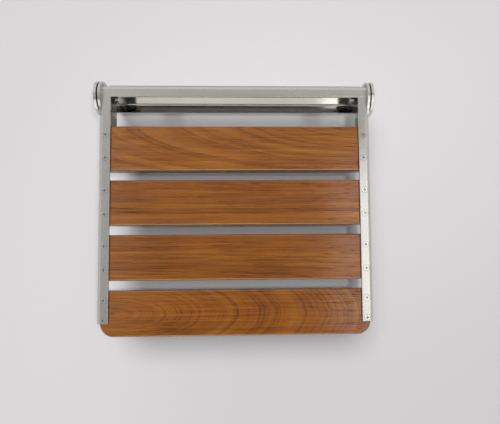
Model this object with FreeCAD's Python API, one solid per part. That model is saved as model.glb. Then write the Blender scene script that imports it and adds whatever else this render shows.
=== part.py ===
import FreeCAD, Part
import math
import os

# Fold down wall seat: a stainless steel frame with four oak slats that turns on
# two bolts in a wall bracket. All sizes are in millimetres. X runs along the wall,
# Y points into the wall and Z is up. The origin is the centre of the wall plate's
# back face, and the seat is modelled down, in its place of use.

# Steel frame of the seat
seat_width = 360.0            # outside of one rail to outside of the other
steel = 3.0                   # sheet of the rails and the rear channel
bend_inner = 2.0              # inside radius of a bend in that sheet
sheet_edge_round = 0.6        # deburred long edges of the flanges
frame_top = 76.0             # top of the frame above the centre of the wall plate
rear_clearance = 20.0         # wall to the back of the frame
channel_depth = 65.0          # height of the rear channel
channel_flange = 15.0         # top and bottom flange of the rear channel
rail_flange = 15.0            # flange of a rail that lies on the slats
rail_straight = 55.0          # stretch of full depth at the rear of a rail
rail_slim_from = 112.0        # back of the frame to where a rail has become slim
rail_slim_depth = 34.0        # depth of a rail there
rail_front_depth = 25.0       # depth of a rail at its front end
rail_knee_radius = 27.5       # where its lower edge starts to rise
rail_waist_radius = 40.0      # where it levels out again
rail_nose_radius = 8.0        # round lower corner at the front end of a rail
rail_heel_radius = 6.0        # round lower corner at the rear end of a rail
weld_leg = 5.0                # bead in the corner behind the rear channel
weld_bulge = 0.6              # how far its face swells out

# Slats and their screws
like_slats = 3                # slats behind the front one, which has its own shape
slat_width = 60.0
slat_thickness = 18.0
slat_gap = 12.5
rear_gap = 39.0               # rear channel to the first slat
slat_end_gap = 0.4            # slat end to the inside of a rail
arris_margin = 0.5            # arris of a slat beyond the bend that it sits in
front_corner_radius = 18.0
front_slat_cover = 42.5       # how far the rails reach over the front slat
screw_edge = 14.5             # slat edge to the nearer screw
rear_slat_screw_shift = 2.2   # the rear slat's screws sit this much nearer to the wall
front_screw_edge = 12.0       # slat edge to the screw at the rear of the front slat
rail_end_to_screw = 4.7       # rail end to the last screw
screw_from_edge = 6.3         # inner edge of the rail flange to the screw line
screw_head_radius = 3.75
screw_head_land = 0.3         # straight rim of the countersunk head
screw_head_sink = 0.15        # top of the head below the face of the rail
screw_radius = 2.0
screw_length = 16.0
screw_tip = 3.0
screw_hole_clearance = 0.25
recess_width = 1.25           # arm of a cross recess
recess_length = 4.6
recess_depth = 2.0
recess_floor_radius = 1.1     # the arms slope in to this

# Hinge
pivot_from_rear = 13.0        # back of the frame to the hinge axis
pivot_below_top = 15.0        # top of the frame to the hinge axis
lobe_radius = 22.5            # round end of a rail, and of a bracket ear
neck_radius = 30.0            # hollow curve from the lobe down to the rail
bolt_radius = 4.0
bolt_head_radius = 9.5
bolt_head_height = 3.5
bolt_head_round = 1.2
bolt_socket_width = 5.0       # across the flats of the hexagon socket
bolt_socket_depth = 2.2
bolt_hole_clearance = 0.15
bolt_end = 1.5                # thread that shows beyond the lock nut
bush_wall = 1.45
bush_running_clearance = 0.05
boss_radius = 8.0
boss_length = 6.0
outer_washer_radius = 20.0    # friction washer between a rail and an ear
outer_washer_thickness = 2.0
inner_washer_radius = 8.0
inner_washer_thickness = 1.5
steel_washer_radius = 8.0
steel_washer_thickness = 1.6
side_play = 0.1               # end float between the seat and the bracket
nut_width = 13.0              # across flats
nut_hex_height = 5.5
nut_collar_height = 2.5
nut_collar_radius = 5.9
insert_recess = 0.6           # nylon ring below the end of the nut
insert_height = 1.6

# Wall bracket
bracket_steel = 4.0
bracket_bend_inner = 2.0
plate_height = 56.0
wall_hole_radius = 3.5
wall_hole_spacing_x = 280.0
wall_hole_spacing_z = 36.0
ear_edge_round = 1.0          # polished outer edge of an ear
ear_foot = 4.0                # straight stretch of an ear beyond its bend

# Rubber stops
bumper_radius = 7.0
bumper_spacing = 220.0
bumper_gap = 0.2              # stop to the frame before the seat is sat on
bumper_edge_round = 1.5
bumper_floor = 6.0            # rubber under the head of its screw
bumper_bore_radius = 4.6
bumper_screw_head_radius = 4.0
bumper_screw_head_height = 2.6
bumper_screw_radius = 2.0
bumper_screw_set_back = 0.5   # end of the screw short of the wall face
bumper_hole_clearance = 0.1

# Places that follow from the sizes
half_width = seat_width / 2
web_inside = half_width - steel
rear_face = -rear_clearance
channel_front = rear_face - channel_flange
channel_bottom = frame_top - channel_depth
bend_outer = bend_inner + steel
pivot_y = rear_face - pivot_from_rear
pivot_z = frame_top - pivot_below_top
slat_top = frame_top - steel
slat_bottom = slat_top - slat_thickness
slat_half_length = web_inside - slat_end_gap
slat_arris = bend_inner + arris_margin
slat_pitch = slat_width + slat_gap
first_slat_rear = channel_front - rear_gap
front_slat_rear = first_slat_rear - like_slats * slat_pitch
rail_front = front_slat_rear - front_slat_cover
screw_x = half_width - rail_flange + screw_from_edge
screw_top = frame_top - screw_head_sink
screw_cone_bottom = screw_top - screw_head_land - (screw_head_radius - screw_radius)
bush_radius = bolt_radius + bush_running_clearance + bush_wall
bush_bore = bolt_radius + bush_running_clearance
boss_inside = web_inside - boss_length
inner_washer_inside = boss_inside - inner_washer_thickness
steel_washer_outside = inner_washer_inside - side_play
nut_outside = steel_washer_outside - steel_washer_thickness
nut_inside = nut_outside - nut_hex_height - nut_collar_height
ear_inside = half_width + outer_washer_thickness + side_play
ear_outside = ear_inside + bracket_steel
plate_top = plate_height / 2
plate_bottom = -plate_height / 2
plate_front = -bracket_steel
bumper_front = rear_face + bumper_gap
bumper_z = (plate_top + channel_bottom) / 2
cut_margin = 1.0              # how far a cutting tool runs past a face


def vec(x, y, z):
    return FreeCAD.Vector(x, y, z)


def block(x0, x1, y0, y1, z0, z1):
    return Part.makeBox(x1 - x0, y1 - y0, z1 - z0, vec(x0, y0, z0))


def rod_x(radius, x0, x1, y=pivot_y, z=pivot_z):
    return Part.makeCylinder(radius, x1 - x0, vec(x0, y, z), vec(1, 0, 0))


def rod_y(radius, y0, y1, x, z):
    return Part.makeCylinder(radius, y1 - y0, vec(x, y0, z), vec(0, 1, 0))


def ring_x(outer, inner, x0, x1):
    return rod_x(outer, x0, x1).cut(rod_x(inner, x0 - cut_margin, x1 + cut_margin))


def mirrored(shape):
    """The same piece on the left, from the piece on the right."""
    return shape.mirror(vec(0, 0, 0), vec(1, 0, 0))


def rounded_wire(corners, place):
    """A closed wire through corners (a, b, radius), with each corner rounded."""
    starts, ends, mids = [], [], []
    count = len(corners)
    for i, (a, b, radius) in enumerate(corners):
        before = corners[i - 1]
        after = corners[(i + 1) % count]
        to_before = FreeCAD.Vector(before[0] - a, before[1] - b, 0).normalize()
        to_after = FreeCAD.Vector(after[0] - a, after[1] - b, 0).normalize()
        corner = FreeCAD.Vector(a, b, 0)
        half = to_before.getAngle(to_after) / 2
        reach = radius / math.tan(half)
        bisector = (to_before + to_after).normalize()
        centre = corner + bisector * (radius / math.sin(half))
        starts.append(corner + to_before * reach)
        ends.append(corner + to_after * reach)
        mids.append(centre - bisector * radius)
    edges = []
    for i in range(count):
        if corners[i][2] > 0:
            arc = Part.Arc(place(starts[i]), place(mids[i]), place(ends[i]))
            edges.append(arc.toShape())
        follow = (i + 1) % count
        if ends[i].distanceToPoint(starts[follow]) > 1e-6:
            edges.append(Part.makeLine(place(ends[i]), place(starts[follow])))
    return Part.Wire(edges)


def on_side(point):
    """Outline coordinates (y, z) to a point in the plane x = 0."""
    return vec(0, point.x, point.y)


def on_plan(point):
    """Outline coordinates (x, y) to a point in the plane z = 0."""
    return vec(point.x, point.y, 0)


def on_front(point):
    """Outline coordinates (x, z) to a point in the plane y = 0."""
    return vec(point.x, 0, point.y)


def prism(wire, start, travel):
    face = Part.Face(wire)
    face.translate(start)
    return face.extrude(travel)


# Screws

def slat_screw_places():
    """The y of the two screws in each slat, from the rear slat to the front one."""
    places = []
    for i in range(like_slats):
        rear = first_slat_rear - i * slat_pitch
        shift = rear_slat_screw_shift if i == 0 else 0.0
        places.append((rear - screw_edge + shift, rear - slat_width + screw_edge + shift))
    places.append((front_slat_rear - front_screw_edge, rail_front + rail_end_to_screw))
    return places


def slat_screw_body(y):
    """Countersunk wood screw without its recess, at one place on the right."""
    land_bottom = screw_top - screw_head_land
    land = Part.makeCylinder(screw_head_radius, screw_head_land, vec(screw_x, y, land_bottom))
    cone = Part.makeCone(screw_radius, screw_head_radius, land_bottom - screw_cone_bottom,
                         vec(screw_x, y, screw_cone_bottom))
    tip_top = screw_top - screw_length + screw_tip
    shank = Part.makeCylinder(screw_radius, screw_cone_bottom - tip_top, vec(screw_x, y, tip_top))
    tip = Part.makeCone(0, screw_radius, screw_tip, vec(screw_x, y, screw_top - screw_length))
    return land.multiFuse([cone, shank, tip]).removeSplitter()


def countersink(y):
    """Cutter for the 90 degree countersink in the rail, which ends wider than the head."""
    depth = frame_top - screw_cone_bottom
    cone = Part.makeCone(screw_radius, screw_radius + depth, depth, vec(screw_x, y, screw_cone_bottom))
    mouth = Part.makeCylinder(screw_radius + depth, cut_margin, vec(screw_x, y, frame_top))
    return cone.fuse(mouth)


def cross_recess():
    """Cutter for a cross recess with its mouth on the origin, going down in Z."""
    half_length = recess_length / 2
    half_slot = recess_width / 2
    along = block(-half_slot, half_slot, -half_length, half_length, -recess_depth, cut_margin)
    across = block(-half_length, half_length, -half_slot, half_slot, -recess_depth, cut_margin)
    taper = Part.makeCone(recess_floor_radius, half_length, recess_depth, vec(0, 0, -recess_depth))
    mouth = Part.makeCylinder(half_length, cut_margin)
    return along.fuse(across).common(taper.fuse(mouth))


def slat_screw(y):
    recess = cross_recess()
    recess.translate(vec(screw_x, y, screw_top))
    return slat_screw_body(y).cut(recess)


def slat_screws():
    screws = []
    for pair in slat_screw_places():
        for y in pair:
            screws.append(slat_screw(y))
    return Part.Compound(screws)


def screw_pilots(places):
    """Cutters for the pilot holes of screws at both ends of a slat."""
    cutters = []
    for y in places:
        body = slat_screw_body(y)
        cutters.append(body)
        cutters.append(mirrored(body))
    return cutters


# Slats

def slat(index):
    rear = first_slat_rear - index * slat_pitch
    board = block(-slat_half_length, slat_half_length, rear - slat_width, rear,
                  slat_bottom, slat_top)
    board = board.makeFillet(slat_arris, board.Edges)
    return board.cut(screw_pilots(slat_screw_places()[index]))


def front_slat():
    """The front board, with its two front corners rounded on plan."""
    front = front_slat_rear - slat_width
    wire = rounded_wire([
        (-slat_half_length, front_slat_rear, 0),
        (-slat_half_length, front, front_corner_radius),
        (slat_half_length, front, front_corner_radius),
        (slat_half_length, front_slat_rear, 0),
    ], on_plan)
    board = prism(wire, vec(0, 0, slat_bottom), vec(0, 0, slat_thickness))
    sharp = []
    for edge in board.Edges:
        level = abs(edge.BoundBox.ZLength) < 1e-6
        at_rear = abs(edge.BoundBox.YMin - front_slat_rear) < 1e-6
        if level or at_rear:
            sharp.append(edge)
    board = board.makeFillet(slat_arris, sharp)
    return board.cut(screw_pilots(slat_screw_places()[like_slats]))


# Steel frame of the seat

def rail_angle():
    """The bent angle of a rail: its flange and the top of its web."""
    bend_low = frame_top - bend_outer
    flange_inside = half_width - rail_flange
    wire = rounded_wire([
        (half_width, bend_low, 0),
        (half_width, frame_top, bend_outer),
        (flange_inside, frame_top, sheet_edge_round),
        (flange_inside, slat_top, sheet_edge_round),
        (web_inside, slat_top, bend_inner),
        (web_inside, bend_low, 0),
    ], on_front)
    return prism(wire, vec(0, rail_front, 0), vec(0, channel_front - rail_front, 0))


def rail_web():
    """The upright web of a rail below its bend, deep at the rear and slim in front."""
    top = frame_top - bend_outer
    straight_end = rear_face - rail_straight
    slim_start = rear_face - rail_slim_from
    wire = rounded_wire([
        (rail_front, top, 0),
        (rail_front, frame_top - rail_front_depth, rail_nose_radius),
        (slim_start, frame_top - rail_slim_depth, rail_waist_radius),
        (straight_end, channel_bottom, rail_knee_radius),
        (rear_face, channel_bottom, rail_heel_radius),
        (rear_face, top, 0),
    ], on_side)
    return prism(wire, vec(web_inside, 0, 0), vec(steel, 0, 0))


def rail_neck():
    """The hollow curve that leads from the round lobe down to the straight rail."""
    rise = pivot_below_top + neck_radius
    run = math.sqrt((lobe_radius + neck_radius) ** 2 - rise ** 2)
    foot = vec(0, pivot_y - run, frame_top)
    centre = vec(0, foot.y, frame_top + neck_radius)
    pivot = vec(0, pivot_y, pivot_z)
    to_pivot = (pivot - centre).normalize()
    meet = centre + to_pivot * neck_radius
    mid = centre + (to_pivot + vec(0, 0, -1)).normalize() * neck_radius
    low = frame_top - bend_outer
    wire = Part.Wire([
        Part.Arc(foot, mid, meet).toShape(),
        Part.makeLine(meet, vec(0, meet.y, low)),
        Part.makeLine(vec(0, meet.y, low), vec(0, foot.y, low)),
        Part.makeLine(vec(0, foot.y, low), foot),
    ])
    return prism(wire, vec(web_inside, 0, 0), vec(steel, 0, 0))


def weld_bead():
    """The bead in the corner between the lobe and the back of the rear channel."""
    corner = vec(web_inside, rear_face, 0)
    along_channel = vec(web_inside - weld_leg, rear_face, 0)
    along_lobe = vec(web_inside, rear_face + weld_leg, 0)
    bulge = (along_channel + along_lobe) * 0.5 + vec(-1, 1, 0).normalize() * weld_bulge
    wire = Part.Wire([
        Part.makeLine(corner, along_channel),
        Part.Arc(along_channel, bulge, along_lobe).toShape(),
        Part.makeLine(along_lobe, corner),
    ])
    reach = pivot_from_rear + weld_leg
    half_height = math.sqrt(lobe_radius ** 2 - reach ** 2)
    low = pivot_z - half_height
    high = min(pivot_z + half_height, frame_top - bend_outer)
    return prism(wire, vec(0, 0, low), vec(0, 0, high - low))


def rail_holes():
    cutters = [rod_x(bush_radius, web_inside - cut_margin, half_width + cut_margin)]
    hole_radius = screw_radius + screw_hole_clearance
    for pair in slat_screw_places():
        for y in pair:
            cutters.append(countersink(y))
            cutters.append(Part.makeCylinder(
                hole_radius, steel + cut_margin, vec(screw_x, y, slat_top - cut_margin)
            ))
    return cutters


def rail():
    lobe = rod_x(lobe_radius, web_inside, half_width)
    whole = rail_angle().multiFuse([rail_web(), rail_neck(), lobe, weld_bead()])
    return whole.removeSplitter().cut(rail_holes())


def rear_channel():
    """The bent channel across the back, open to the front, between the two rails."""
    web_front = rear_face - steel
    wire = rounded_wire([
        (channel_front, frame_top, sheet_edge_round),
        (rear_face, frame_top, bend_outer),
        (rear_face, channel_bottom, bend_outer),
        (channel_front, channel_bottom, sheet_edge_round),
        (channel_front, channel_bottom + steel, sheet_edge_round),
        (web_front, channel_bottom + steel, bend_inner),
        (web_front, frame_top - steel, bend_inner),
        (channel_front, frame_top - steel, sheet_edge_round),
    ], on_side)
    return prism(wire, vec(-web_inside, 0, 0), vec(2 * web_inside, 0, 0))


# Hinge pieces on the right

def hinge_boss():
    return ring_x(boss_radius, bush_radius, boss_inside, web_inside)


def pivot_bush():
    return ring_x(bush_radius, bush_bore, boss_inside, half_width)


def outer_friction_washer():
    return ring_x(outer_washer_radius, bush_bore, half_width, half_width + outer_washer_thickness)


def inner_friction_washer():
    return ring_x(inner_washer_radius, bush_bore, inner_washer_inside, boss_inside)


def steel_washer():
    hole = bolt_radius + bolt_hole_clearance
    return ring_x(steel_washer_radius, hole, nut_outside, steel_washer_outside)


def hexagon(width, x0, length):
    """A hexagonal prism along X on the hinge axis."""
    radius = width / math.sqrt(3)
    points = []
    for i in range(7):
        angle = math.radians(60 * i)
        points.append(vec(x0, pivot_y + radius * math.cos(angle), pivot_z + radius * math.sin(angle)))
    return Part.Face(Part.makePolygon(points)).extrude(vec(length, 0, 0))


def lock_nut():
    """Hexagon with a round collar that holds the nylon ring."""
    hex_inside = nut_outside - nut_hex_height
    body = hexagon(nut_width, hex_inside, nut_hex_height)
    collar = rod_x(nut_collar_radius, nut_inside, hex_inside)
    bore = rod_x(bolt_radius, nut_inside - cut_margin, nut_outside + cut_margin)
    ring = nut_insert_space()
    return body.fuse(collar).cut([bore, ring])


def nut_insert_space():
    start = nut_inside + insert_recess
    return rod_x(insert_radius(), start, start + insert_height)


def insert_radius():
    """Half way through the wall of the collar."""
    return (bolt_radius + nut_collar_radius) / 2


def nut_insert():
    start = nut_inside + insert_recess
    return ring_x(insert_radius(), bolt_radius, start, start + insert_height)


def pivot_bolt():
    head = rod_x(bolt_head_radius, ear_outside, ear_outside + bolt_head_height)
    rim = [e for e in head.Edges if abs(e.BoundBox.XMin - ear_outside - bolt_head_height) < 1e-6]
    head = head.makeFillet(bolt_head_round, rim)
    socket = hexagon(bolt_socket_width, ear_outside + bolt_head_height - bolt_socket_depth,
                     bolt_socket_depth + cut_margin)
    shank = rod_x(bolt_radius, nut_inside - bolt_end, ear_outside)
    return head.fuse(shank).removeSplitter().cut(socket)


# Wall bracket and stops

def tangent_point(y, z, turn):
    """Where a line from (y, z) touches the round end of an ear."""
    away = vec(0, y - pivot_y, z - pivot_z)
    angle = math.atan2(away.z, away.y) + turn * math.acos(lobe_radius / away.Length)
    return vec(0, pivot_y + lobe_radius * math.cos(angle), pivot_z + lobe_radius * math.sin(angle))


def bracket_side():
    """Side view of the bracket: the edge of the wall plate and a round-ended ear."""
    foot_y = -bracket_steel - bracket_bend_inner - ear_foot
    rear_touch = tangent_point(foot_y, plate_top, 1)
    front_touch = tangent_point(foot_y, plate_bottom, -1)
    crown = vec(0, pivot_y, pivot_z + lobe_radius)
    corners = [
        vec(0, foot_y, plate_bottom),
        vec(0, 0, plate_bottom),
        vec(0, 0, plate_top),
        vec(0, foot_y, plate_top),
    ]
    wire = Part.Wire([
        Part.makeLine(corners[0], corners[1]),
        Part.makeLine(corners[1], corners[2]),
        Part.makeLine(corners[2], corners[3]),
        Part.makeLine(corners[3], rear_touch),
        Part.Arc(rear_touch, crown, front_touch).toShape(),
        Part.makeLine(front_touch, corners[0]),
    ])
    return prism(wire, vec(-ear_outside, 0, 0), vec(2 * ear_outside, 0, 0))


def bracket_plan():
    """Plan of the bracket: a plate with both ends bent forward, before it is trimmed."""
    ear_front = pivot_y - lobe_radius - cut_margin
    outer_bend = bracket_steel + bracket_bend_inner
    wire = rounded_wire([
        (-ear_outside, ear_front, 0),
        (-ear_inside, ear_front, 0),
        (-ear_inside, plate_front, bracket_bend_inner),
        (ear_inside, plate_front, bracket_bend_inner),
        (ear_inside, ear_front, 0),
        (ear_outside, ear_front, 0),
        (ear_outside, 0, outer_bend),
        (-ear_outside, 0, outer_bend),
    ], on_plan)
    height = pivot_z + lobe_radius + cut_margin - plate_bottom
    return prism(wire, vec(0, 0, plate_bottom), vec(0, 0, height))


def wall_hole_places():
    places = []
    for side in (-1, 1):
        for row in (-1, 1):
            places.append((side * wall_hole_spacing_x / 2, row * wall_hole_spacing_z / 2))
    return places


def wall_bracket():
    body = bracket_plan().common(bracket_side())
    crowns = []
    for edge in body.Edges:
        box = edge.BoundBox
        outside = abs(abs(edge.CenterOfMass.x) - ear_outside) < 1e-6
        if outside and box.ZMax > pivot_z + lobe_radius - 1e-3:
            crowns.append(edge)
    body = body.makeFillet(ear_edge_round, crowns)
    hole = bolt_radius + bolt_hole_clearance
    cutters = [
        rod_x(hole, ear_inside - cut_margin, ear_outside + cut_margin),
        rod_x(hole, -ear_outside - cut_margin, -ear_inside + cut_margin),
    ]
    for x, z in wall_hole_places():
        cutters.append(rod_y(wall_hole_radius, plate_front - cut_margin, cut_margin, x, z))
    for side in (-1, 1):
        x = side * bumper_spacing / 2
        cutters.append(rod_y(bumper_screw_radius, plate_front - cut_margin, cut_margin, x, bumper_z))
    return body.cut(cutters)


def stop_bumper():
    """Rubber stop with a deep bore for its screw, on the right."""
    x = bumper_spacing / 2
    body = rod_y(bumper_radius, bumper_front, plate_front, x, bumper_z)
    rim = [e for e in body.Edges if abs(e.BoundBox.YMax - bumper_front) < 1e-6]
    body = body.makeFillet(bumper_edge_round, rim)
    bore = rod_y(bumper_bore_radius, bumper_front - cut_margin, plate_front - bumper_floor, x, bumper_z)
    hole = rod_y(bumper_screw_radius + bumper_hole_clearance, bumper_front, plate_front + cut_margin,
                 x, bumper_z)
    return body.cut([bore, hole])


def bumper_screw(x):
    """Pan head screw that holds a stop to the wall plate."""
    head_back = plate_front - bumper_floor
    face = head_back - bumper_screw_head_height
    head = rod_y(bumper_screw_head_radius, face, head_back, x, bumper_z)
    shank = rod_y(bumper_screw_radius, head_back, -bumper_screw_set_back, x, bumper_z)
    recess = cross_recess()
    recess.rotate(vec(0, 0, 0), vec(1, 0, 0), 90)
    recess.translate(vec(x, face, bumper_z))
    return head.fuse(shank).removeSplitter().cut(recess)


def bumper_screws():
    return Part.Compound([bumper_screw(-bumper_spacing / 2), bumper_screw(bumper_spacing / 2)])


def all_pieces():
    pieces = {
        "wall_bracket": wall_bracket(),
        "rear_channel": rear_channel(),
        "rear_slat": slat(0),
        "second_slat": slat(1),
        "third_slat": slat(2),
        "front_slat": front_slat(),
        "bumper_screws": bumper_screws(),
    }
    right_pieces = {
        "rail": rail(),
        "slat_screws": slat_screws(),
        "pivot_bolt": pivot_bolt(),
        "pivot_bush": pivot_bush(),
        "hinge_boss": hinge_boss(),
        "outer_friction_washer": outer_friction_washer(),
        "inner_friction_washer": inner_friction_washer(),
        "steel_washer": steel_washer(),
        "lock_nut": lock_nut(),
        "nut_insert": nut_insert(),
        "stop_bumper": stop_bumper(),
    }
    for name, shape in right_pieces.items():
        pieces["right_" + name] = shape
        pieces["left_" + name] = mirrored(shape)
    return pieces


os.makedirs("parts", exist_ok=True)
for name, shape in all_pieces().items():
    shape.exportStep("parts/" + name + ".step")
    print(name, len(shape.Solids), "solid(s), valid", shape.isValid(), round(shape.Volume), "mm3")
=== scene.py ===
# %% [markdown]
# # A fold down wall seat
#
# Four oiled boards lie in a stainless steel frame, which turns up on two bolts in a wall
# bracket. Every board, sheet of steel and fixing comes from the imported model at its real
# size, so this lesson leaves their shapes alone. It gives each of them the finish that its
# maker gave it, and adds the ripples that a welder leaves on the beads of the frame.
# The first step loads the model and keeps the box that it fills.

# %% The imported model
import math

import bmesh
import bpy
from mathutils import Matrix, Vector


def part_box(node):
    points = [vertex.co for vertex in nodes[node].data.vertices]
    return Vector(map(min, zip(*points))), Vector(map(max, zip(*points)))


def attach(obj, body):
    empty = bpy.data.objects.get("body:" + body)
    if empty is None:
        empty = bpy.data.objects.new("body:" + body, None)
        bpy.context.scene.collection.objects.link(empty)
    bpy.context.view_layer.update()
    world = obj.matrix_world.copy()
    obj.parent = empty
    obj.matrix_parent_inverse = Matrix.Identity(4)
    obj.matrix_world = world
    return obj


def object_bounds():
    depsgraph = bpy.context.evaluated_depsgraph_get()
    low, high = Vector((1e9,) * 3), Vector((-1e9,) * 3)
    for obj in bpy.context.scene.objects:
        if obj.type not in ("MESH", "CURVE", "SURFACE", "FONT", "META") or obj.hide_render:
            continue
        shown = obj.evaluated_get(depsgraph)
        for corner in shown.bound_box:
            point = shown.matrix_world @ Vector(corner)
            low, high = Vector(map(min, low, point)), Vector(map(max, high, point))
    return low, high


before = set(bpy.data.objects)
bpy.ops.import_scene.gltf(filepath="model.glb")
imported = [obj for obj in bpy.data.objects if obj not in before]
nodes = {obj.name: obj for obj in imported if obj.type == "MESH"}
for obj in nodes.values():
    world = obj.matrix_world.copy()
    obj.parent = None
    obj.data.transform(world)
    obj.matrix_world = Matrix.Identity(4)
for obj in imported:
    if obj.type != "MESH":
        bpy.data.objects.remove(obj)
cad_box = [list(corner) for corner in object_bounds()]
MM = 0.001
print("pieces:", len(nodes), "box in metres:", cad_box)

# %% [markdown]
# ## The camera
#
# The photograph looks down on the open seat from a little over half a metre, with the wall
# towards the top of the picture. Its straight edges and sixteen screws fix where the camera
# stood, so the lens, the place and the turn are written here as a photographer would note
# them, and nothing is aimed at an object. The lens axis missed the middle of the picture
# by a few pixels, which is what the small shift is for.

# %% The camera's place and lens
photo_width = 500
focal_length = 419.6
axis_right, axis_down = 12.7, 23.6
camera_place = Vector((18.3, -253.0, 626.1)) * MM
camera_turn = (3.32, -1.72, -0.48)

lens = bpy.data.cameras.new("photo_camera")
lens.sensor_fit = "HORIZONTAL"
lens.lens = focal_length * lens.sensor_width / photo_width
lens.shift_x = -axis_right / photo_width
lens.shift_y = axis_down / photo_width
camera = bpy.data.objects.new("photo_camera", lens)
camera.location = camera_place
camera.rotation_euler = [math.radians(angle) for angle in camera_turn]
bpy.context.scene.collection.objects.link(camera)
bpy.context.scene.camera = camera
bpy.context.scene.view_settings.view_transform = "Standard"
print("lens of", round(lens.lens, 1), "mm at", round(camera_place.z, 3), "m")

# %% [markdown]
# ## Sums with sockets
#
# A finish is a graph of nodes, and most of its nodes only add, multiply or compare. Wired
# up one by one they hide the idea behind them. The class below wraps one output socket and
# lets it stand in a Python expression, so that `1 - mask` or `grain * 0.5 + stain` adds its
# own Math nodes. Only the operators that the finishes use are there.

# %% A socket that can be reckoned with
class Flow:
    """What one socket gives, used like a number in Python."""

    def __init__(self, graph, socket):
        self.graph = graph
        self.socket = socket

    def math(self, operation, *inputs):
        return self.graph.node("ShaderNodeMath", {"operation": operation}, dict(enumerate(inputs)))

    def __add__(self, other):
        return self.math("ADD", self, other)

    def __radd__(self, other):
        return self.math("ADD", other, self)

    def __sub__(self, other):
        return self.math("SUBTRACT", self, other)

    def __rsub__(self, other):
        return self.math("SUBTRACT", other, self)

    def __mul__(self, other):
        return self.math("MULTIPLY", self, other)

    def __rmul__(self, other):
        return self.math("MULTIPLY", other, self)

    def __truediv__(self, other):
        return self.math("DIVIDE", self, other)

    def __pow__(self, other):
        return self.math("POWER", self, other)

    def __abs__(self):
        return self.math("ABSOLUTE", self)

    def rise(self, low, high):
        """0 below low, 1 above high, and a smooth step between them."""
        settings = {"interpolation_type": "SMOOTHSTEP"}
        return self.graph.node("ShaderNodeMapRange", settings, {0: self, 1: low, 2: high})

# %% [markdown]
# ## One way to add a node
#
# Every other node comes from one method. It takes the node's type, then its settings, which
# have to be in place before its sockets make sense, then a value or a link for each socket.
# The same method serves a surface finish and the sky, so both are built on one class. The
# places on the object are worked out in millimetres, the unit that a workshop thinks in.

# %% A graph of nodes
class Graph:
    """A node tree that is being filled."""

    def __init__(self, tree):
        self.tree = tree

    def feed(self, socket, value):
        if isinstance(value, Flow):
            self.tree.links.new(value.socket, socket)
        else:
            socket.default_value = value

    def node(self, kind, settings=None, sockets=None, out=0):
        made = self.tree.nodes.new(kind)
        for name, value in (settings or {}).items():
            if name == "stops":
                self.set_stops(made.color_ramp, value)
            else:
                setattr(made, name, value)
        for key, value in (sockets or {}).items():
            self.feed(made.inputs[key], value)
        return Flow(self, made.outputs[out])

    def set_stops(self, ramp, stops):
        while len(ramp.elements) < len(stops):
            ramp.elements.new(1.0)
        for element, (position, colour) in zip(ramp.elements, stops):
            element.position = position
            element.color = (*colour, 1.0)

    def split(self, vector):
        made = self.tree.nodes.new("ShaderNodeSeparateXYZ")
        self.feed(made.inputs[0], vector)
        return [Flow(self, socket) for socket in made.outputs]

    def join(self, x, y, z):
        return self.node("ShaderNodeCombineXYZ", {}, {0: x, 1: y, 2: z})

    def ramp(self, value, stops):
        return self.node("ShaderNodeValToRGB", {"stops": stops}, {0: value})

    def mix(self, share, first, second):
        """A colour between two colours, where share goes from 0 to 1."""
        colours = [c if isinstance(c, Flow) else (*c, 1.0) for c in (first, second)]
        settings = {"data_type": "RGBA"}
        return self.node("ShaderNodeMix", settings, {0: share, 6: colours[0], 7: colours[1]}, out=2)


class Finish(Graph):
    """A material whose shader is fed by the graph."""

    def __init__(self, name, **look):
        self.material = bpy.data.materials.new(name)
        self.material.use_nodes = True
        super().__init__(self.material.node_tree)
        self.shader = self.tree.nodes["Principled BSDF"]
        self.set(**look)

    def set(self, **look):
        """Feeds shader sockets, named as in metallic=1.0 or base_color=stain."""
        for name, value in look.items():
            title = name.replace("_", " ").title().replace("Ior", "IOR")
            self.feed(self.shader.inputs[title], value)

    def place(self):
        """Where a point lies on the object, as x, y and z in millimetres."""
        spot = self.node("ShaderNodeTexCoord", {}, {}, out="Object")
        metres = self.split(spot)
        return [axis * (1 / MM) for axis in metres]

    def noise(self, x, y, z, detail=2.0, roughness=0.5):
        """Soft noise about 0.5, one lump per unit of x, y and z."""
        sockets = {"Vector": self.join(x, y, z), "Scale": 1.0, "Detail": detail,
                   "Roughness": roughness}
        return self.node("ShaderNodeTexNoise", {}, sockets)

    def bump(self, height, depth_mm):
        """Raises the surface by height times a depth in millimetres."""
        sockets = {"Strength": 1.0, "Distance": depth_mm * MM, "Height": height}
        self.set(normal=self.node("ShaderNodeBump", {}, sockets))

# %% [markdown]
# ## The room
#
# The seat was photographed over a plain pale surface, under a wide soft light that hung
# above it, a little behind and to the left: the boards are evenly lit, while the surface
# seen through the gaps is a good deal darker. A small lamp adds the crisper shadows under
# the gaps. Steel is a mirror and shows what is around it. So for the rays that leave a
# mirror the sky is a pale room, calm above, with a bright window in front of the seat and a
# dark curtain between them. Matt surfaces get only a faint glow from the sky, the camera
# sees it as pale as the floor, and a long soft box is there for the right rail to mirror.
# The sky isn't sampled as a lamp, as that would light the polish on the boards with the room
# that only mirrors should see. The floor's colour is painted a little darker towards the
# front and the right: a painted shadow of the seat, cast from the wide light.

# %% Floor and sky
floor_drop = 2.0
floor_tone = (0.700, 0.688, 0.696)
# painted shadow: how much darker the floor colour is painted towards the front and right
floor_painted_shadow = 0.125
shadow_across, shadow_along = (-330, 60), (-480, 100)
faint_glow = 0.16
backdrop = 0.70
room_above, room_around, wall_glow = 0.10, 0.68, 0.16
window_light = 1.25
curtain_dark = 0.93
sky_tone = (1.0, 0.99, 0.985, 1.0)
# Edges in the sky, as parts of a direction of length 1 where they begin and end
gloom_middle, gloom_side, gloom_end = 0.03, (0.26, 0.33), (0.30, 0.38)
wall_edge, window_edge = (0.34, 0.40), (-0.40, -0.36)
curtain_front, curtain_back, curtain_side = (-0.37, -0.33), (-0.22, -0.15), (0.35, 0.60)


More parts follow.
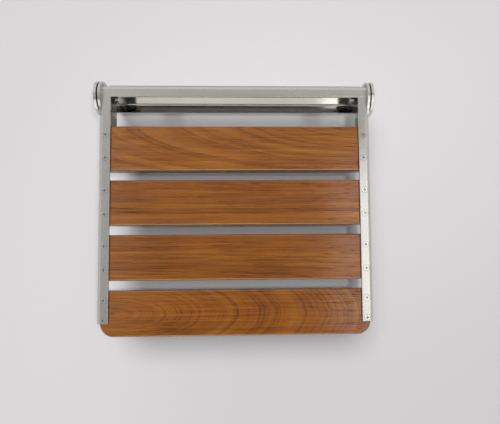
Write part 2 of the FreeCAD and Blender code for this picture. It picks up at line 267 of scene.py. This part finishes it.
def make_floor():
    size = 4.0
    mesh = bpy.data.meshes.new("floor")
    corners = [(-size, -size, 0), (size, -size, 0), (size, size, 0), (-size, size, 0)]
    mesh.from_pydata(corners, [], [(0, 1, 2, 3)])
    floor = bpy.data.objects.new("floor", mesh)
    floor.location.z = cad_box[0][2] - floor_drop * MM
    bpy.context.scene.collection.objects.link(floor)
    paint = Finish("floor_paint", roughness=0.9)
    x, y = paint.place()[:2]
    # painted shadow of the seat, darkening the floor colour towards the front and right
    away = x.rise(*shadow_across) * (1 - y.rise(*shadow_along))
    paint.set(base_color=paint.mix(away * floor_painted_shadow, floor_tone, (0, 0, 0)))
    mesh.materials.append(paint.material)


def make_sky():
    sky = bpy.data.worlds.new("sky")
    sky.use_nodes = True
    bpy.context.scene.world = sky
    graph = Graph(sky.node_tree)
    sky.cycles.sampling_method = "NONE"
    east, north = graph.split(graph.node("ShaderNodeTexCoord", {}, {}, out="Generated"))[:2]
    gloom = (1 - abs(east - gloom_middle).rise(*gloom_side)) * (1 - north.rise(*gloom_end))
    room = room_around + (room_above - room_around) * gloom + north.rise(*wall_edge) * wall_glow
    window = 1 - north.rise(*window_edge)
    room = room + window * (window_light - room)
    curtain = north.rise(*curtain_front) * (1 - north.rise(*curtain_back))
    room = room * (1 - curtain * curtain_dark * (1 - abs(east).rise(*curtain_side)))
    camera, glossy, transmission = [
        graph.node("ShaderNodeLightPath", {}, {}, out=ray)
        for ray in ("Is Camera Ray", "Is Glossy Ray", "Is Transmission Ray")]
    strength = faint_glow + (room - faint_glow) * (glossy + transmission)
    back = sky.node_tree.nodes["Background"]
    graph.feed(back.inputs["Strength"], strength + (backdrop - faint_glow) * camera)
    back.inputs["Color"].default_value = sky_tone


make_floor()
make_sky()
floor_height = cad_box[0][2] / MM - floor_drop
print("floor at", round(floor_height, 1), "mm from the middle of the wall plate")

# %% The lamps
def make_lamp(name, kind, place_mm, aim_mm, energy, **shape):
    light = bpy.data.lights.new(name, kind)
    light.energy = energy
    for setting, value in shape.items():
        setattr(light, setting, value)
    lamp = bpy.data.objects.new(name, light)
    lamp.location = Vector(place_mm) * MM
    towards = Vector(aim_mm) - Vector(place_mm)
    lamp.rotation_euler = towards.to_track_quat("-Z", "Y").to_euler()
    lamp.visible_camera = False
    bpy.context.scene.collection.objects.link(lamp)
    print(name, "shines with", energy)
    return lamp


wide_light = make_lamp("wide_light", "SUN", (-240, 300, 1690), (0, -190, 40), 2.38,
                       angle=math.radians(36))
wide_light.visible_glossy = False
small_lamp = make_lamp("small_lamp", "AREA", (120, -257, 850), (0, -190, 70), 1.6, size=0.036)
small_lamp.visible_glossy = False
soft_box = make_lamp("soft_box", "AREA", (515, -242, 1100), (200, -242, 70), 1.33,
                     shape="RECTANGLE", size=0.776, size_y=0.37)
soft_box.visible_diffuse = False

# %% [markdown]
# ## Oiled oak
#
# A board is a slice of a trunk, and its pattern is where the slice cuts the growth rings.
# An image could show one board, but not its edges or its ends. So the rings are made as
# they grow: each point's distance from the pith, a line that runs a little askew to the
# board, says which ring it is in. Where the pith dips under the board, the rings close up
# into arches. Each ring darkens towards its end, and some rings are darker than others.
# Long thin noise adds the fibres, and shorter noise the open pores, which take no polish.
# The sides of each board are painted darker, painted shade on the faces that turn from the
# light. The front arris carries a painted pale highlight, and a painted shadow darkens the
# wood in the corner along the rails, under the edge of each flange.

# %% The finish of one board
oak_dark = (0.082, 0.020, 0.002)
oak_middle = (0.214, 0.066, 0.007)
oak_light = (0.335, 0.127, 0.016)
# painted highlight along the front arris of each board: its colour and share
arris_highlight_tone, arris_highlight_share = (0.56, 0.32, 0.12), 0.36
# painted shadow in the corner along the rails: its colour and strength
corner_shadow_tone, corner_shadow_dark = (0.004, 0.002, 0.001), 0.75
# painted shade: how much darker the sides of each board are painted
side_shade_dark = 0.50
flange_inside = 165.0
rail_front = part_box("left_rail")[0].y / MM


def oiled_oak(node, pith_side, pith_depth, lean, drift, paleness, ring_width):
    """pith_side is across from the board's middle, pith_depth is below its face, and
    ring_width is the wood of one year, all in millimetres. lean and drift say how fast the
    first two change along the board, and paleness shifts its colour."""
    low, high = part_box(node)
    middle = (low.y + high.y) / 2 / MM
    face = high.z / MM
    seed = abs(middle)
    oak = Finish("oiled_oak_" + node, specular_ior_level=0.38, coat_roughness=0.16)
    x, y, z = oak.place()
    sway = oak.noise(x * 0.006, y * 0.012, seed, detail=2.0) - 0.5
    wave = oak.noise(x * 0.035, y * 0.05, seed + 7, detail=2.0) - 0.5
    side = y - middle - pith_side - x * drift + sway * 10
    below = z - face + pith_depth + x * lean + wave * 3
    radius = (side * side + below * below) ** 0.5
    growth = radius / ring_width
    ring = oak.noise(growth * 0.8, seed, 0.5, detail=2.0, roughness=0.6)
    late = growth.math("FRACT", growth) ** 3 * ring.rise(0.62, 0.38)
    fibre = oak.noise(x * 0.010, y * 0.80, z * 0.80, detail=3.0, roughness=0.65)
    thread = oak.noise(x * 0.05, y * 2.6, z * 2.6, detail=2.0)
    pore = oak.noise(x * 0.06, y * 0.95 + wave * 6, z * 0.95, detail=2.0).rise(0.56, 0.68)
    stain = oak.noise(x * 0.013, y * 0.03, seed + 3, detail=2.0)
    tone = 0.56 + paleness + (ring - 0.5) * 0.7 + (fibre - 0.5) * 1.2 + (thread - 0.5) * 0.4
    tone = tone + (stain - 0.5) * 0.5 - late * 0.22 - pore * 0.12
    colour = oak.ramp(tone, [(0.10, oak_dark), (0.5, oak_middle), (0.9, oak_light)])
    # painted shade on the sides of the board, below its polished face
    side_shade = 1 - z.rise(face - 3.0, face - 1.2)
    # painted shadow in the corner where each rail flange lies on the board
    corner = abs(x).rise(flange_inside - 1.3, flange_inside - 0.5)
    corner = corner * y.rise(rail_front, rail_front + 1)
    corner = corner * (1 - abs(x).rise(flange_inside + 0.5, flange_inside + 2))
    shade = (1 - side_shade * side_shade_dark) * (1 - corner * corner_shadow_dark)
    # painted highlight along the top front arris of the board
    arris_highlight = 1 - (y - low.y / MM + face - z).rise(1.4, 2.6)
    colour = oak.mix(shade, corner_shadow_tone, colour)
    oak.set(base_color=oak.mix(arris_highlight * arris_highlight_share, colour, arris_highlight_tone))
    oak.set(roughness=0.34 - tone * 0.10 + pore * 0.52)
    oak.set(coat_weight=1.0 - pore - thread.rise(0.42, 0.62) * 0.45)
    oak.bump(thread * 0.5 + fibre * 0.4 - pore * 0.8, 0.05)
    return oak.material

# %% [markdown]
# ## Brushed stainless steel
#
# The sheet was ground on a belt before it was bent, which leaves fine scratches in one
# direction: along each rail, and along the channel and the bracket. A mirror with scratches
# spreads its highlight across them. Bump from very long noise does that, while the colour
# stays nearly even, because a scratch changes how steel shines and hardly what it reflects.
# The faces under the seat were never ground and stay as they left the mill; on the rails
# their colour is also painted dark, painted shade. The channel's lower flange is painted dark
# brown, painted shade, and the walls round each countersunk screw are darkened, grime and
# painted shade.

# %% The finish of brushed sheet
steel_tone = (0.61, 0.60, 0.56)
bright_mill_tone = (0.78, 0.76, 0.72)
# painted shade for the rails' faces under the seat
rail_underside_shade_tone = (0.20, 0.185, 0.17)
# painted shade on the channel's lower flange: its colour
flange_shade_tone = (0.075, 0.052, 0.038)
# colour of grime and painted shade in recesses
grime_and_shade_tone = (0.15, 0.14, 0.13)
flange_shade_share = 0.25
stroke_depth = 0.010
frame_top, sheet = 76.0, 3.0
web_inside, rear_face = 177.0, -20.0
flange_underside, channel_inside = frame_top - sheet, rear_face - sheet
low_flange_top = 14.0
screw_line, sink_radius = 171.3, 4.25
hinge_front = -40.0


def brushed_steel(name, along, inside_tone, inside_rough, spring_back=0.0):
    """along is the axis of the brush strokes, 0 for x and 1 for y. inside_tone and
    inside_rough are the colour and roughness of the faces under the seat, and on the rails
    that colour is painted shade. spring_back is how many degrees the lower flange of the
    channel stands open; where it is given, that flange is also painted dark, painted shade."""
    steel = Finish(name, metallic=1.0)
    place = steel.place()
    x, y, z = place
    indoors = 1 - z.rise(flange_underside - 1.5, flange_underside + 0.2)
    indoors = indoors * (1 - abs(x).rise(web_inside + 0.2, web_inside + 1.2))
    indoors = indoors * (1 - y.rise(channel_inside + 0.4, channel_inside + 1.4))
    run, across = place[along], place[1 - along]
    streak = steel.noise(run * 0.008, across * 0.45, z * 0.45, detail=3.0, roughness=0.6)
    scratch = steel.noise(run * 0.03, across * 3.5, z * 3.5, detail=2.0)
    hair = steel.noise(run * 0.09, across * 11.0, z * 11.0, detail=1.0)
    mark = steel.noise(x * 0.02, y * 0.02, z * 0.02, detail=3.0)
    bright = 1 + (streak - 0.5) * 0.16 + (scratch - 0.5) * 0.16 + (mark - 0.5) * 0.08
    dark_steel = tuple(channel * 0.7 for channel in steel_tone)
    pale_steel = tuple(channel * 1.3 for channel in steel_tone)
    colour = steel.mix((bright - 0.7) / 0.6, dark_steel, pale_steel)
    rough = 0.27 + (mark - 0.5) * 0.12 + (streak - 0.5) * 0.10
    ground = (scratch * 0.6 + hair * 0.4 + streak * 0.5) * (1 - indoors * 0.85)
    if along == 1:
        indoors = indoors * (1 - y.rise(hinge_front - 6, hinge_front - 2))
        # walls round each countersunk screw are darkened, grime and painted shade in the gap
        gap = 1 - z.rise(frame_top - 0.20, frame_top - 0.05)
        gap = gap * z.rise(flange_underside, flange_underside + 0.2)
        gap = gap * y.rise(rail_front + 0.2, rail_front + 0.6)
        gap = gap * (1 - y.rise(hinge_front, hinge_front + 1))
        gap = gap * (1 - abs(abs(x) - screw_line).rise(sink_radius, sink_radius + 0.15))
        colour = steel.mix(gap * 0.9, colour, grime_and_shade_tone)
    # faces under the seat take inside_tone, which on the rails is painted shade
    colour = steel.mix(indoors * 0.8, colour, inside_tone)
    if spring_back:
        # the lower flange is painted dark, painted shade; its bump slope is the flange standing
        # open
        low_flange = indoors * (1 - z.rise(low_flange_top + 0.2, low_flange_top + 1.6))
        colour = steel.mix(low_flange * flange_shade_share, colour, flange_shade_tone)
        slope = math.tan(math.radians(spring_back)) / stroke_depth
        ground = ground + low_flange * (y - channel_inside) * slope
    steel.set(base_color=colour, roughness=rough + indoors * (inside_rough - 0.30))
    steel.bump(ground, stroke_depth)
    return steel.material

# %% [markdown]
# ## Fixings
#
# Screws, bolts, washers and nuts are cold formed and tumbled until they are smooth, so they
# are brighter than the sheet around them, and their highlights are small. Fine random dents
# and a little dullness are all that they show. The slat screws darken with depth in the
# cross recess, grime and painted shade. The lock nuts are painted darker, painted shade that
# keeps their glint down.

# %% The finish of the fixings
# how far the cross recess is darkened: grime and painted shade
recess_grime_and_shade = 0.4


def tumbled_steel(name, tone, rough, recess_top=-1000):
    """The last argument is the height below which the colour darkens: grime and painted shade."""
    steel = Finish(name, metallic=1.0)
    x, y, z = steel.place()
    dull = steel.noise(x * 0.25, y * 0.25, z * 0.25, detail=3.0)
    dent = steel.noise(x * 1.6, y * 1.6, z * 1.6, detail=2.0)
    dark_tone = tuple(channel * 0.75 for channel in tone)
    colour = steel.mix(dull.rise(0.25, 0.75), dark_tone, tone)
    # below the recess top the colour darkens, grime and painted shade in the cross recess
    above_recess = z.rise(recess_top, recess_top + 0.3)
    steel.set(base_color=steel.mix(1 - (1 - above_recess) * recess_grime_and_shade, grime_and_shade_tone, colour))
    steel.set(roughness=rough + (dull - 0.5) * 0.15)
    steel.bump(dent, 0.03)
    return steel.material

# %% [markdown]
# ## Nylon, rubber and bronze
#
# The friction washers and the rings in the lock nuts are moulded nylon, the stops are black
# rubber and the bushes sintered bronze. All of them are small, but a close view shows each
# one. Moulded parts have a fine leathery skin, rubber a duller one with dust on it, and
# sintered bronze is a sponge of grains, darker where oil has filled the pores.

# %% The finish of moulded parts
def moulded(name, tone, dust, rough, grain):
    """grain is the size of the lumps in the skin, in millimetres."""
    skin = Finish(name)
    x, y, z = skin.place()
    lump = skin.noise(x / grain, y / grain, z / grain, detail=2.0)
    cloud = skin.noise(x * 0.12, y * 0.12, z * 0.12, detail=3.0)
    skin.set(base_color=skin.mix(cloud.rise(0.35, 0.8), tone, dust))
    skin.set(roughness=rough + (cloud - 0.5) * 0.2)
    skin.bump(lump, 0.05)
    return skin.material


def sintered_bronze(name):
    bronze = Finish(name, metallic=1.0)
    x, y, z = bronze.place()
    grain = bronze.noise(x * 4, y * 4, z * 4, detail=3.0)
    colour = bronze.ramp(grain, [(0.3, (0.20, 0.12, 0.05)), (0.7, (0.62, 0.40, 0.20))])
    bronze.set(base_color=colour, roughness=0.42 + (grain - 0.5) * 0.3)
    bronze.bump(grain, 0.06)
    return bronze.material

# %% [markdown]
# ## Dressing the pieces
#
# Each node of the model now gets its finish. The names say which is which: boards end in
# slat, and the left and right halves of the hinge share a finish. A node that matches
# nothing would stay bare, so the last line counts them.

# %% Finishes on the model's own pieces
boards = {
    "rear_slat": oiled_oak("rear_slat", 42, 46, -0.20, 0.0, 0.02, 2.4),
    "second_slat": oiled_oak("second_slat", 34, 30, -0.03, 0.02, -0.05, 2.0),
    "third_slat": oiled_oak("third_slat", -38, 34, 0.04, 0.01, -0.03, 2.2),
    "front_slat": oiled_oak("front_slat", -2, 50, 0.30, 0.0, -0.02, 1.5),
}
# its faces under the seat are painted dark, painted shade
rail_steel = brushed_steel("brushed_along_the_rails", 1, rail_underside_shade_tone, 0.42)
bracket_steel = brushed_steel("brushed_along_the_bracket", 0, steel_tone, 0.30)
channel_steel = brushed_steel("brushed_along_the_channel", 0, bright_mill_tone, 0.12, 2.5)
screw_steel = tumbled_steel("screw_steel", (0.78, 0.77, 0.74), 0.22, 75.35)
small_screw_steel = tumbled_steel("small_screw_steel", (0.72, 0.71, 0.68), 0.24)
bolt_steel = tumbled_steel("bolt_steel", (0.66, 0.65, 0.62), 0.30)
# the lock nuts are painted darker, painted shade that keeps their glint down
shaded_nut_steel = tumbled_steel("shaded_nut_steel", (0.34, 0.33, 0.32), 0.38)
black_nylon = moulded("black_nylon", (0.012, 0.012, 0.013), (0.03, 0.03, 0.03), 0.45, 0.5)
white_nylon = moulded("white_nylon", (0.62, 0.60, 0.55), (0.50, 0.47, 0.40), 0.40, 0.5)
rubber = moulded("black_rubber", (0.014, 0.014, 0.014), (0.05, 0.047, 0.043), 0.65, 0.35)
bronze = sintered_bronze("sintered_bronze")
hinge_finishes = {
    "rail": rail_steel,
    "slat_screws": screw_steel,
    "pivot_bolt": bolt_steel,
    "steel_washer": bolt_steel,
    "lock_nut": shaded_nut_steel,
    "nut_insert": white_nylon,
    "hinge_boss": bolt_steel,
    "pivot_bush": bronze,
    "outer_friction_washer": black_nylon,
    "inner_friction_washer": black_nylon,
    "stop_bumper": rubber,
}
finishes = {**boards, "rear_channel": channel_steel, "wall_bracket": bracket_steel,
            "bumper_screws": small_screw_steel}
for name, material in hinge_finishes.items():
    finishes["left_" + name] = material
    finishes["right_" + name] = material

for name, node in nodes.items():
    node.data.materials.clear()
    node.data.materials.append(finishes[name])
print("dressed", len(nodes), "of", len(finishes), "nodes")

# %% [markdown]
# ## Weld beads
#
# The frame is welded in two places on each side: the lobe that carries the hinge to the back
# of the channel, and the hinge boss to the inside of the lobe. A welder adds filler drop by
# drop, and each drop freezes as a crescent over the one before, so a bead looks like a row
# of coins pushed over. The model's bead is smooth. A skin of ripples lies over it here: a
# section that is swept along the seam, whose height follows the arches of a sine and whose
# phase lags towards both edges, which bends every ripple into a crescent. The same sweep,
# bent into a circle, makes the fillet round the boss. A noise would look like a casting.

# %% A sweep that makes closed skins
edge_lag = 0.45


def closed_skin(name, rings, joined, material):
    """A mesh through rings of points in millimetres. joined says that the last ring meets the
    first, and otherwise both ends are capped."""
    count = len(rings[0])
    points = [Vector(point) * MM for ring in rings for point in ring]
    faces = []
    for i in range(len(rings) if joined else len(rings) - 1):
        here, there = i * count, (i + 1) % len(rings) * count
        for k in range(count):
            after = (k + 1) % count
            faces.append((here + k, here + after, there + after, there + k))
    if not joined:
        faces.append(tuple(range(count)))
        faces.append(tuple(range(len(points) - 1, len(points) - 1 - count, -1)))
    mesh = bpy.data.meshes.new(name)
    mesh.from_pydata(points, [], faces)
    body = bmesh.new()
    body.from_mesh(mesh)
    bmesh.ops.recalc_face_normals(body, faces=body.faces)
    body.to_mesh(mesh)
    body.free()
    mesh.shade_smooth()
    mesh.materials.append(material)
    skin = bpy.data.objects.new(name, mesh)
    bpy.context.scene.collection.objects.link(skin)
    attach(skin, "seat")


def weld_section(corner, leg, bulge, drop, phase, steps=12):
    """Points of one section, as distances along the two faces that meet in the corner. The
    outer points rise by bulge and by a drop's height, and the last two lie in the steel."""
    section = []
    for k in range(steps + 1):
        s = 2 * k / steps - 1
        arch = abs(math.sin(math.pi * (phase - edge_lag * s * s)))
        rise = (bulge * (1 - s * s) + drop * arch * (1 - s ** 4)) / math.sqrt(2)
        section.append((leg * (1 - s) / 2 + rise, leg * (1 + s) / 2 + rise))
    section += [(0.1 * leg, 0.7 * leg), (0.7 * leg, 0.1 * leg)]
    return [(corner[0] - along, corner[1] + out) for along, out in section]

# %% Beads and ring welds on both sides
pivot_y, pivot_z = -33.0, 61.0
boss_radius = 8.0
bead_low, bead_high = 47.6, 70.9
bead_leg, bead_bulge, bead_drop = 5.0, 0.62, 0.34
ring_leg, ring_bulge, ring_drop, ring_steps = 1.5, 0.1, 0.14, 8
drop_length = 1.7
rings_per_drop = 8
weld_steel = tumbled_steel("weld_steel", (0.50, 0.46, 0.40), 0.34)

for side, sign in (("left", -1), ("right", 1)):
    rings = []
    steps = round((bead_high - bead_low) / drop_length * rings_per_drop)
    for i in range(steps + 1):
        z = bead_low + (bead_high - bead_low) * i / steps
        corner = (web_inside, rear_face)
        section = weld_section(corner, bead_leg, bead_bulge, bead_drop, z / drop_length)
        rings.append([(sign * x, y, z) for x, y in section])
    closed_skin(side + "_bead_ripples", rings, False, weld_steel)

    rings = []
    drops = round(2 * math.pi * (boss_radius + 0.8) / drop_length)
    for i in range(drops * rings_per_drop):
        turn = 2 * math.pi * i / (drops * rings_per_drop)
        section = weld_section((web_inside, boss_radius), ring_leg, ring_bulge, ring_drop,
                               i / rings_per_drop, ring_steps)
        rings.append([(sign * x, pivot_y + r * math.cos(turn), pivot_z + r * math.sin(turn))
                      for x, r in section])
    closed_skin(side + "_boss_weld", rings, True, weld_steel)
print("two beads and two ring welds,", drops, "drops round each boss")
